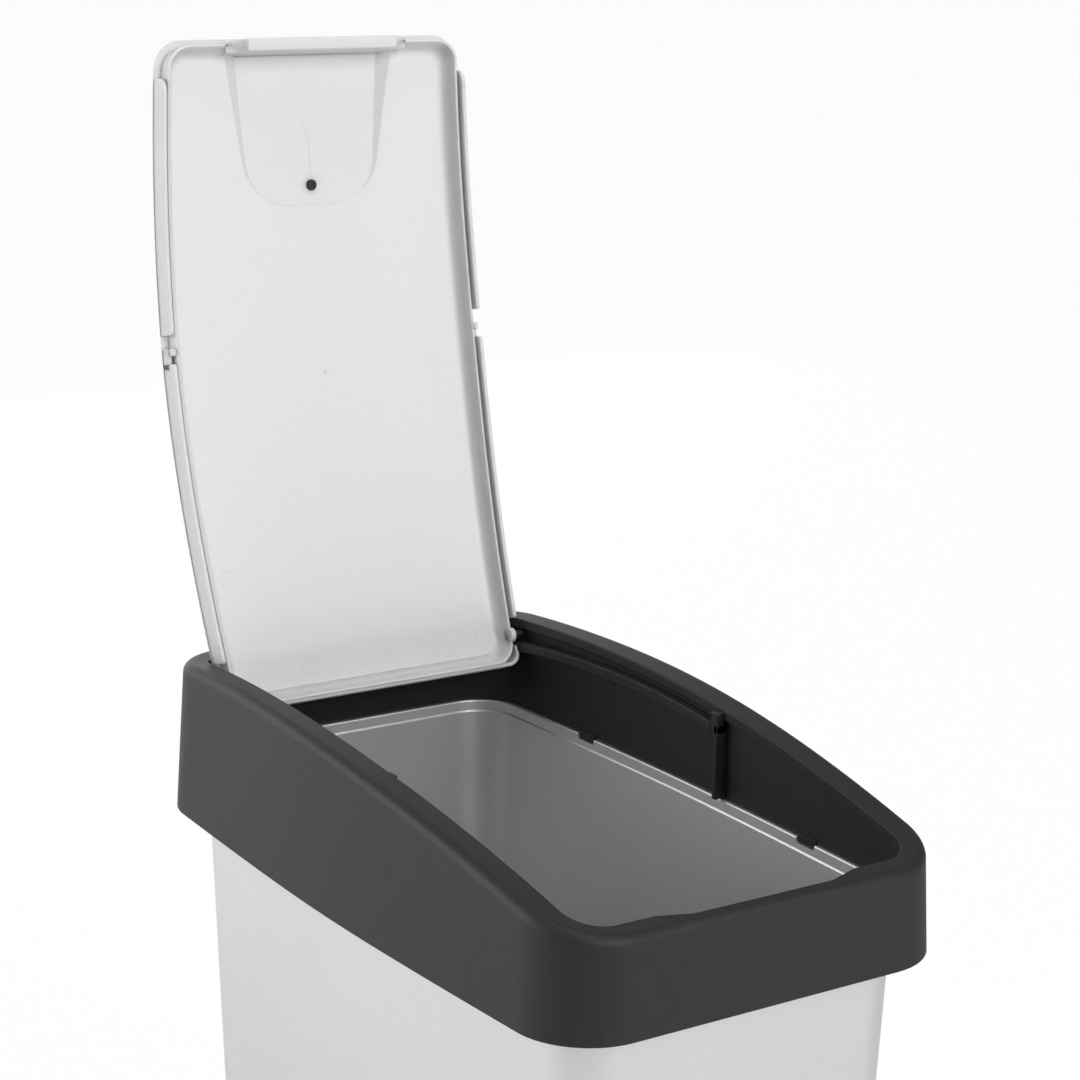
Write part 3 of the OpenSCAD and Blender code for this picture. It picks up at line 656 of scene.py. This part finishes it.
# Points of a pad outline's right half: along its side, its back and its front
PAD_SIDE_N, PAD_BACK_N, PAD_FRONT_N = 59, 20, 30


def pad_outline(grow, front):
    """Outline of the finger pad: straight sides that part towards the front, round back corners, grown
    outwards by a width for each point, up to the front line. As x and s, from the front line's middle."""
    t, side, back = QUARTER, PAD_SIDE_N, PAD_BACK_N
    straight = np.linspace(front - PAD_S, PAD_R, side + 1)[:-1]
    u = np.concatenate([straight, PAD_R - PAD_R * np.sin(t), np.zeros(back)])
    edge = PAD_BACK_W / 2 + (PAD_W - PAD_BACK_W) / 2 * u / PAD_L
    x = np.concatenate([edge[:side], edge[side:side + len(t)] - PAD_R * (1 - np.cos(t)),
                        np.linspace(edge[-1] - PAD_R, 0, back + 1)[1:]])
    out = np.concatenate([np.zeros(side), t, np.full(back, math.pi / 2)])
    grown = grow(u) if callable(grow) else grow
    x, u = x + grown * np.cos(out), u - grown * np.sin(out)
    front_x = np.linspace(0, x[0], PAD_FRONT_N + 1)[:-1]
    return np.concatenate([np.c_[front_x, np.full(PAD_FRONT_N, front)], np.c_[x, PAD_S + u]])


def towards(ring, target):
    """For each ring point, the target outline's point in the same direction from the pad's middle."""
    def direction(points):
        return np.arctan2(np.abs(points[:, 0]), points[:, 1] - PAD_MIDDLE)

    angle, target_angle = direction(ring), direction(target)
    target_size = np.hypot(target[:, 0], target[:, 1] - PAD_MIDDLE)
    order = np.argsort(target_angle)
    size = np.interp(angle, target_angle[order], target_size[order])
    return np.c_[np.sign(ring[:, 0]) * size * np.sin(angle), PAD_MIDDLE + size * np.cos(angle)]


def pad_face(s):
    """Height of the pad's face over the lid's top at distance s."""
    return PAD_BACK_RISE + (PAD_RISE - PAD_BACK_RISE) * np.clip((s - PAD_S) / PAD_L, 0, 1)


def recess_depth(s):
    """Depth of the recess under the pad: shallow at its back end, nearly straight towards the front."""
    return np.hypot(RECESS_BACK, RECESS_SLOPE * (s - PAD_S))


def sheet_rings(start, edge, face, edge_w, face_w, radii):
    """Rings of one side of the lid's sheet, from its outer ring to the middle of the pad. They follow the
    arc as far as the pad's foot, climb its rounded wall and close over its face."""
    share = np.linspace(0, 1, 26)[1:-1] ** 0.9
    rings = [laid(start + (edge - start) * k, edge_w) for k in share]
    middle = np.array([0.0, PAD_MIDDLE])
    shrink = (0.94, 0.85, 0.72, 0.58, 0.44, 0.3, 0.16, 0.03)
    inner, *cap = (laid(middle + (face - middle) * k, face_w) for k in shrink)
    corners = [rings[-1], laid(edge, edge_w), laid(face, face_w), inner]
    wall = rounded(corners, [0, *radii, 0], 5, closed=False)
    return np.concatenate([rings[:-1], wall, cap])


def make_lid(material):
    """Arched sheet with a rim wall, skirts at its sides and back, the raised finger pad and the tongue."""
    shell = Shell()
    # Under the pad the recess runs up to the tongue, so there the sheet's inner rings lie close to the rim
    # wall. Apart is zero there and one elsewhere, and rear is one along the lid's back.
    tight = lid_outline(TIGHT_IN)
    apart = smooth_step(np.abs(tight[:, 0]), TIGHT_FROM, TIGHT_TO)[:, None]
    apart = np.where(tight[:, 1:] > LID_L - TIGHT_L, apart, 1.0)
    rear = 1 - smooth_step(tight[:, 1], TROUGH_FROM, TROUGH_TO)

    def drawn(inset):
        return tight + (lid_outline(inset) - tight) * apart

    def fillet(r, fall):
        """Quarter circle between the rim wall and the sheet. A fall sinks its foot in the sheet."""
        arc = []
        for t in np.linspace(0.12, 1.5, 10):
            w = LID_T + r * (1 - math.sin(t)) - fall * math.sin(t) ** 2
            arc.append(laid(drawn(WALL_IN + r * (1 - math.cos(t))), w))
        return arc + [laid(drawn(WALL_IN + r + k), LID_T - fall * (k < 0.5)) for k in (0.2, 0.45, 0.8, 1.4)]

    top, inner = lid_outline(RIB_INSET), drawn(SHEET_IN)
    edge = rounded([
        laid(top, 0), lid_ring(0, 0), lid_ring(0, LIP_T), lid_ring(RIB_INSET, LIP_T),
        lid_ring(RIB_INSET, RIB_H), lid_ring(RIB_INSET + RIM_WALL_T, RIB_H),
        laid(drawn(WALL_IN), LID_T + FILLET_R - TROUGH_DIP * rear)],
        [0, 0.9, 0.5, 0.4, 0.4, 0.4, 0], 6, closed=False)
    mix = rear[:, None]
    bend = [a * (1 - mix) + b * mix for a, b in zip(fillet(FILLET_R, 0.0), fillet(TROUGH_R, TROUGH_FALL))]
    tray = np.concatenate([edge, bend, [laid(inner, LID_T)]])
    recess_front = LID_L - RECESS_FRONT
    under_edge = towards(inner, pad_outline(lambda u: np.hypot(1.0, 0.094 * u), recess_front))
    under_face = towards(inner, pad_outline(0.0, recess_front - 0.2))
    over_edge = towards(top, pad_outline(lambda u: 0.6 + PAD_SLOPE * pad_face(PAD_S + u), PAD_S + PAD_L))
    over_face = towards(top, pad_outline(0.6, PAD_S + PAD_L - 0.3))
    under = sheet_rings(inner, under_edge, under_face, LID_T, lambda s: LID_T - recess_depth(s), (0.8, 0.8))
    over = sheet_rings(top, over_edge, over_face, 0.0, lambda s: -pad_face(s), (1.5, 1.2))
    shell.skin(opened(np.concatenate([over[::-1], tray, under])))
    skirts(shell)
    tongue(shell)
    # Hinge eyes: short cups that the collar's pins run in
    bore = PIN_R + PIN_CLEAR
    outside = [(0, AXIS_R), (0, EYE_R), (EYE_L - 0.3, EYE_R), (EYE_L, EYE_R - 0.3)]
    hole = [(EYE_L, bore + 0.2), (EYE_L - 0.2, bore), (EYE_FLOOR, bore), (EYE_FLOOR, AXIS_R)]
    for side in (-1, 1):
        centre = (side * (EYE_OUT - EYE_L), HINGE_Y, HINGE_Z)
        shell.skin(opened(turned(np.array(outside + hole), centre, side)))
    shell.build("lid_moulding", "lid_body", material, ("lid",))


def standing(inner, outer, s, w):
    """Sections of a wall on the lid's sheet, from x inner to outer, down to the depth w."""
    return np.stack([on_lid(inner, s, w), on_lid(outer, s, w), on_lid(outer, s, SHEET_LAP),
                     on_lid(inner, s, SHEET_LAP)], 1)


def skirt(shell, side, s0, s1, h, back_r=2.0, front_r=2.0):
    """Stretch of skirt under the lid's edge. Towards each end its free edge falls by a quarter circle, and
    the stations lie closer there, by a cosine."""
    s = s0 + (s1 - s0) * (1 - np.cos(np.linspace(0, math.pi, max(18, int((s1 - s0) / 2))))) / 2
    near_back, near_front = np.minimum(s - s0, back_r), np.minimum(s1 - s, front_r)
    w = h - back_r - front_r + np.sqrt(back_r ** 2 - (back_r - near_back) ** 2) \
        + np.sqrt(front_r ** 2 - (front_r - near_front) ** 2)
    x = lid_x(s)
    shell.bar(opened(mirrored(standing(x - SKIRT_T, x, s, w), side)), EDGE_R, 0.2)


def skirts(shell):
    slot_back, slot_front = PIVOT_AT - TAB_GAP, PIVOT_AT + TAB_L + TAB_GAP
    for side in (-1, 1):
        skirt(shell, side, SKIRT_START, slot_back - LOW_SKIRT_L, SKIRT_H)
        skirt(shell, side, slot_back - LOW_SKIRT_L - 2.4, slot_back, LOW_SKIRT_H, 0.5, 0.8)
        skirt(shell, side, slot_front, LID_L - SKIRT_END, SKIRT_H, 1.5, 7.0)
        s = np.linspace(slot_back - BLOCK_T, slot_back, 3)
        wall = standing(lid_x(s) - RIB_INSET - 0.5, lid_x(s) - 0.6, s, RIB_H)
        shell.bar(opened(mirrored(wall, side)), EDGE_R)
    # Round the back: the part of the outline that lies behind the ends of this skirt.
    outer, inner = lid_outline(0), lid_outline(SKIRT_T)
    keep = outer[:, 1] < BACK_SKIRT_END
    outer, inner = outer[keep], inner[keep]
    lean = BACK_LEAN * (1 - outer[:, 1] / BACK_SKIRT_END)
    shift = np.c_[np.zeros(len(lean)), lean]
    section = [laid(inner, SHEET_LAP), laid(outer, SHEET_LAP), laid(outer + shift, BACK_SKIRT_H),
               laid(inner + shift, BACK_SKIRT_H)]
    shell.bar(opened(np.stack(section, 1)), EDGE_R)


def tongue(shell):
    """Box under the lid's front, open at the front below the lip. Its rings are rounded outlines across the
    lid and down the walls, carried forward along the lid and back again inside the pocket. Beyond the rim
    wall's edge its ends flare by a quarter of an ellipse, and nearer the sheet they draw in on a line."""
    top, low, lip = 0.9, TONGUE_H, LIP_T + 0.2
    turn = np.linspace(0, 1, 5)[:, None] * math.pi / 2

    def ring(inset, s, upper):
        """Outline drawn in by the inset: down the right side, along the free edge, up the left side."""
        w = np.linspace(upper, low - inset - TONGUE_R, 24)
        over = np.clip((low - w) / (low - RIB_H), 0, 1)
        flare = 2 * TONGUE_DRAFT * (1 - np.sqrt(1 - over ** 2))
        x = TONGUE_W / 2 + flare - TONGUE_DRAW * np.maximum(RIB_H - w, 0) - inset
        end = low - inset
        corner = np.c_[x[-1] - TONGUE_R * (1 - np.cos(turn)), w[-1] + TONGUE_R * np.sin(turn)]
        along = np.c_[np.linspace(corner[-1, 0], 0, 12)[1:-1], np.full(10, end)]
        right = np.concatenate([np.c_[x, w], corner[1:], along])
        flat = np.concatenate([right, [(0, end)], right[::-1] * (-1, 1)])
        return on_lid(flat[:, 0], s, flat[:, 1])

    back, front = TONGUE_BACK, TONGUE_BACK + TONGUE_T
    rings = rounded([ring(5, back, top + 5), ring(0, back, top), ring(0, front, top), ring(LID_T, front, lip),
                     ring(LID_T, back + LID_T, lip), ring(LID_T + 4, back + LID_T, lip + 4)],
                    [0, 0.7, 0.35, 0.35, 0.5, 0], 4, closed=False)
    shell.skin(opened(rings))
    # Ridge that carries the back of the tongue on up to the pad's face
    across = np.linspace(-PAD_W / 2 + 0.4, PAD_W / 2 - 0.4, 5)
    behind, ahead, under, upper = TONGUE_BACK + 0.05, LID_L - TIGHT_IN, 1.1, 0.8 - PAD_RISE
    corners = ((behind, upper), (ahead, upper), (ahead, under), (behind, under))
    shell.bar(opened(np.stack([on_lid(across, s, w) for s, w in corners], 1)), 0.2, 0.2)


def make_stud(material):
    """Plug in the pad, turned about its own axis: a low domed head outside, a shaft and a rounded end inside
    with a shallow dimple."""
    seat, shaft = PAD_BACK_RISE + (PAD_RISE - PAD_BACK_RISE) * STUD_IN / PAD_L + 0.1, STUD_R - 0.06
    # Each profile point is a height along the axis and a radius.
    head = [(seat + 1.5, AXIS_R), (seat + 1.45, 1.8), (seat + 1.1, STUD_R + 1), (seat + 0.5, STUD_R + 1.8),
            (seat, STUD_R + 1.75)]
    stem = [(seat, shaft), (-LID_T, shaft), (-LID_T - 0.35, shaft - 0.15), (-LID_T - 0.6, shaft - 0.5)]
    dimple = [(-LID_T - 0.6, 1.2), (-LID_T - 0.2, 1.0), (-LID_T - 0.2, AXIS_R)]
    height, radius = np.array(head + stem + dimple).T[..., None, None]
    angle = np.linspace(0, 2 * math.pi, 48, endpoint=False)
    s = PAD_S + STUD_IN
    a = BACK_ANGLE + s / ARC_R
    normal, along = np.array([0, math.cos(a), math.sin(a)]), np.array([0, -math.sin(a), math.cos(a)])
    circle = np.cos(angle)[:, None] * (1, 0, 0) + np.sin(angle)[:, None] * along
    rings = on_lid(0, s, 0) + height * normal + radius * circle
    shell = Shell()
    shell.skin(opened(rings))
    shell.build("lid_stud_plug", "lid_body", material, ("lid_stud",), 30)


make_bucket(silver_finish())
make_collar(dark_finish())
make_lid(white_finish())
make_stud(stud_finish())

# Camera, floor and light

# Camera: its lens, its place and its turn in degrees, fitted to the photo's edges
CAMERA_LENS, CAMERA_PLACE, CAMERA_TURN = 90.05, (-0.60181, -0.90532, 0.67494), (76.0954, -1.0016, -33.5151)
# Floor: its radius, how bright it glows for the camera and how much of what is seen is that glow
FLOOR_R, FLOOR_GLOW, GLOW_SHARE = 45, 1.02, 0.94
# Brightness of the room: as light on the bin and as the camera's background
ROOM_LIGHT, ROOM_SEEN = 0.26, 1.0

camera_data = bpy.data.cameras.new("camera")
camera_data.lens, camera_data.sensor_width = CAMERA_LENS, 36.0
camera_data.clip_start, camera_data.clip_end = 0.05, 60
camera = bpy.data.objects.new("camera", camera_data)
turn = Euler([math.radians(angle) for angle in CAMERA_TURN]).to_matrix().to_4x4()
camera.matrix_world = Matrix.Translation(CAMERA_PLACE) @ turn
bpy.context.scene.collection.objects.link(camera)
bpy.context.scene.camera = camera


def make_floor():
    """Pale floor: a disc whose colour comes mostly from a plain white for the camera, so that it stays
    white and still takes the bin's shadow."""
    mesh = bpy.data.meshes.new("floor")
    angle = np.linspace(0, 2 * math.pi, 64, endpoint=False)
    points = np.c_[np.cos(angle) * FLOOR_R, np.sin(angle) * FLOOR_R, np.zeros(64)]
    mesh.from_pydata(points.tolist(), [], [list(range(64))])
    floor = bpy.data.objects.new("floor", mesh)
    bpy.context.scene.collection.objects.link(floor)
    f = Finish("pale_floor", Roughness=0.9, Specular_IOR_Level=0.1)
    f.link("Base Color", f.blend(f.noise(3.0), grey(0.80), grey(0.84)))
    glow = f.make("ShaderNodeEmission", {}, {"Color": (1, 1, 1, 1), "Strength": FLOOR_GLOW})
    seen = f.make("ShaderNodeLightPath", {}, {}, "Is Camera Ray")
    mix = f.make("ShaderNodeMixShader", {}, [seen * GLOW_SHARE, None, glow])
    node = mix.socket.node
    f.tree.links.new(f.shader.outputs[0], node.inputs[1])
    f.tree.links.new(node.outputs[0], next(n for n in f.tree.nodes if n.type == "OUTPUT_MATERIAL").inputs[0])
    mesh.materials.append(f.material)


def lamp(name, place, target, width, height, power):
    """Soft rectangular lamp at a place in metres, turned to face its target."""
    data = bpy.data.lights.new(name, "AREA")
    data.shape, data.size, data.size_y, data.energy = "RECTANGLE", width, height, power
    light = bpy.data.objects.new(name, data)
    way = np.subtract(place, target)
    way = way / np.linalg.norm(way)
    right = np.cross((0, 0, 1), way)
    right = right / np.linalg.norm(right)
    up = np.cross(way, right)
    light.matrix_world = Matrix(np.r_[np.c_[right, up, way, place], [[0, 0, 0, 1]]].tolist())
    bpy.context.scene.collection.objects.link(light)


make_floor()
lamp("left_back", (-1.9, 1.15, 0.95), (0, 0, 0.35), 1.4, 1.6, 25)
lamp("back_panel", (0.2, 2.3, 0.72), (0, 0, 0.35), 3.2, 1.3, 21)
lamp("front_fill", (0.2, -2.2, 1.6), (0, 0.1, 0.4), 1.2, 1.2, 30)
lamp("right_fill", (1.6, -2.2, 0.15), (0, 0, 0.12), 1.2, 0.3, 6)
lamp("top_soft", (0.0, -0.2, 2.4), (0, 0, 0.3), 1.3, 1.3, 9)

world = bpy.data.worlds.new("studio")
bpy.context.scene.world = world
world.use_nodes = True
tree = world.node_tree
back = next(n for n in tree.nodes if n.type == "BACKGROUND")
back.inputs["Color"].default_value = (1, 1, 1, 1)
path, level = tree.nodes.new("ShaderNodeLightPath"), tree.nodes.new("ShaderNodeMapRange")
level.inputs["To Min"].default_value, level.inputs["To Max"].default_value = ROOM_LIGHT, ROOM_SEEN
tree.links.new(path.outputs["Is Camera Ray"], level.inputs["Value"])
tree.links.new(level.outputs[0], back.inputs["Strength"])
bpy.context.scene.view_settings.view_transform = "Standard"
